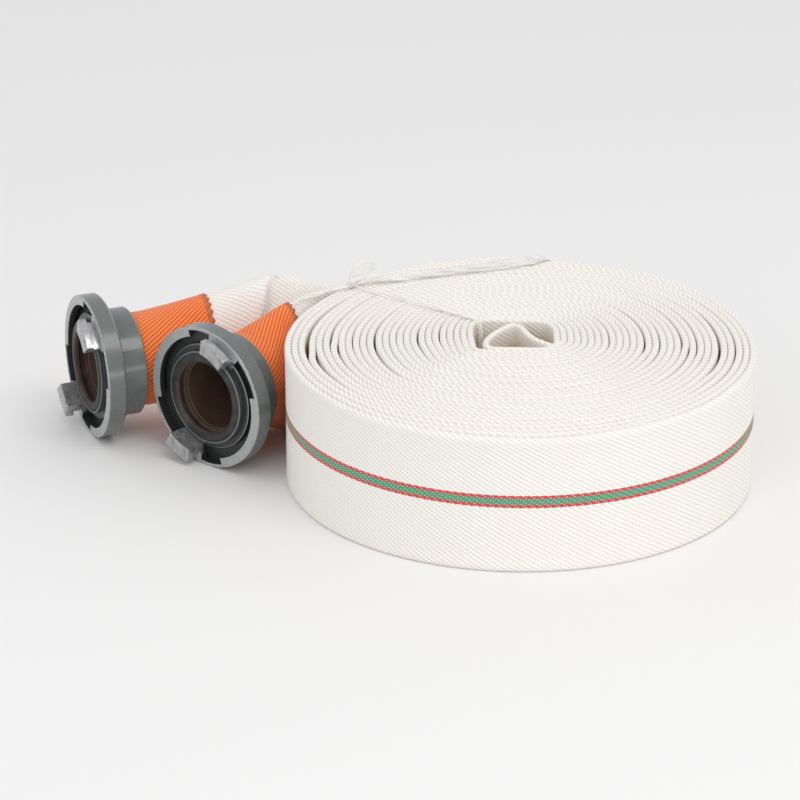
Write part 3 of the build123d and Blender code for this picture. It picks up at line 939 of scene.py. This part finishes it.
# The runs of film: a strand to the core, the band over the back rim, the run to the left, a bow and a short
# end. Every point is x, y, z, width and tilt.
FILM_RUNS = (
    ((-123.8, 112.4, 107.4, 2.0, 0), (-110, 102, 107.2, 1.9, 15), (-92, 89, 106.8, 2.1, 40),
     (-72, 74, 106.7, 3.0, 20), (-54, 61.5, 106.8, 4.6, 8), (-39, 51, 106.8, 5.6, 0),
     (-30, 44.5, 106.0, 5.0, -10), (-26.4, 41, 101, 4.2, -20), (-25.4, 39.5, 90, 3.6, -30),
     (-25.0, 38.5, 74, 3.0, -40)),
    ((-124.5, 112.8, 107.6, 2.4, 0), (-112, 119.5, 107.6, 6.0, 10), (-99, 125.5, 107.4, 10.0, 0),
     (-86, 130.0, 107.2, 12.5, -5), (-60, 140.0, 106.9, 14.5, 0), (-32, 149.5, 106.8, 16.0, 2),
     (-8, 158.0, 106.7, 16.0, 0), (12, 166.0, 106.7, 15.0, -2), (24.0, 174.4, 106.3, 14.0, 0),
     (30.4, 179.0, 103.4, 13.0, 0), (31.8, 180.2, 94, 12.5, 0), (32.4, 180.6, 72, 12.0, 0)),
    ((-123.2, 111.6, 107.6, 2.4, 0), (-133, 105.6, 107.8, 4.6, 10), (-143, 99.2, 107.8, 6.4, -10),
     (-152, 93, 107.6, 7.2, 10), (-159.5, 87.2, 107.4, 6.4, 0), (-164.6, 82.4, 106.6, 5.0, -15),
     (-167.6, 78.6, 103.0, 3.6, -30)),
    ((-124.6, 113.4, 107.8, 2.0, 40), (-125.8, 119.0, 109.4, 6.0, 66), (-124.0, 127.0, 112.6, 11.0, 78),
     (-117.0, 131.6, 114.0, 12.0, 84), (-109.0, 131.6, 114.6, 9.0, 80), (-105.0, 128.4, 112.0, 4.0, 70),
     (-112.0, 119.5, 108.2, 3.6, 40), (-121.0, 114.4, 107.9, 2.0, 20)),
    ((-123.4, 113.2, 107.8, 1.6, 30), (-119.0, 117.0, 109.0, 3.4, 50), (-111.5, 119.6, 110.0, 4.2, 60),
     (-104.5, 122.8, 109.6, 3.4, 50), (-100.5, 126.2, 108.4, 2.0, 40)),
)
LYING_RUNS = 3                  # the first runs lie on the roll; the others stand up at the knot


def make_film():
    """Thin packing film: clear, milky where it is creased."""
    sh = Shader("film")
    place = sh.place()
    creased = sh.noise(place, 120.0, 2.0, 0.5, stretch=(0.35, 1.9, 1.0))
    color = sh.mix(creased, (0.97, 0.94, 0.88), (1.0, 0.99, 0.97))
    sh.put(sh.ramp(creased, 0.36, 0.64, 0.22, 0.68), sh.bsdf.inputs["Alpha"])
    return sh.finish(color, 0.22, sh.bump(creased, 0.0004), Specular_IOR_Level=0.45)


def build_film():
    """The knot and the runs as one piece."""
    points, faces = film_knot()
    parts = [points]
    for k, run in enumerate(FILM_RUNS):
        more, more_faces = film_ribbon(run, 1.7 + 2.3 * k, 0.45 if k < LYING_RUNS else 0.3)
        base = sum(len(part) for part in parts)
        parts.append(more)
        faces += [[v + base for v in face] for face in more_faces]
    made = smooth_object("film_wrap", np.concatenate(parts) * MM, faces)
    made.data.materials.append(make_film())
    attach(made, "root")
    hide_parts("film_tie")


build_film()


# ---------------------------------------------------------------- stage and light

def make_stage():
    sh = Shader("floor")
    sh.finish((0.86, 0.855, 0.85), 0.7, Specular_IOR_Level=0.2)
    mesh = bpy.data.meshes.new("floor")
    mesh.from_pydata([(-6, -6, 0), (6, -6, 0), (6, 6, 0), (-6, 6, 0)], [], [(0, 1, 2, 3)])
    floor = bpy.data.objects.new("floor", mesh)
    mesh.materials.append(sh.material)
    bpy.context.scene.collection.objects.link(floor)


def make_light(name, place, aim, size, power, color=(1, 1, 1)):
    data = bpy.data.lights.new(name, "AREA")
    data.shape = "RECTANGLE"
    data.size, data.size_y = size
    data.energy = power
    data.color = color
    lamp = bpy.data.objects.new(name, data)
    lamp.location = place
    lamp.rotation_euler = (Vector(aim) - Vector(place)).to_track_quat("-Z", "Y").to_euler()
    bpy.context.scene.collection.objects.link(lamp)


def make_world():
    """Soft light from all round, a little brighter overhead."""
    world = bpy.data.worlds.new("studio")
    world.use_nodes = True
    tree = world.node_tree
    background = tree.nodes["Background"]
    split = tree.nodes.new("ShaderNodeSeparateXYZ")
    tree.links.new(tree.nodes.new("ShaderNodeTexCoord").outputs["Generated"], split.inputs[0])
    rise = tree.nodes.new("ShaderNodeMapRange")
    rise.interpolation_type = "SMOOTHSTEP"
    tree.links.new(split.outputs[2], rise.inputs["Value"])
    for name, value in (("From Min", 0.1), ("From Max", 0.75), ("To Min", 0.76), ("To Max", 0.84)):
        rise.inputs[name].default_value = value
    tree.links.new(rise.outputs[0], background.inputs["Strength"])
    background.inputs["Color"].default_value = (0.985, 0.99, 1.0, 1.0)
    bpy.context.scene.world = world


make_stage()
make_world()
make_light("key", (0.7, -1.0, 2.1), (0, 0, 0.05), (1.1, 1.1), 12.5, (1.0, 0.985, 0.96))
make_light("front", (-1.1, -2.2, 1.3), (-0.1, 0, 0.05), (1.0, 1.0), 7.0)
make_light("low", (1.45, -1.7, 0.2), (-0.2, 0, 0.05), (1.6, 0.3), 4.5)
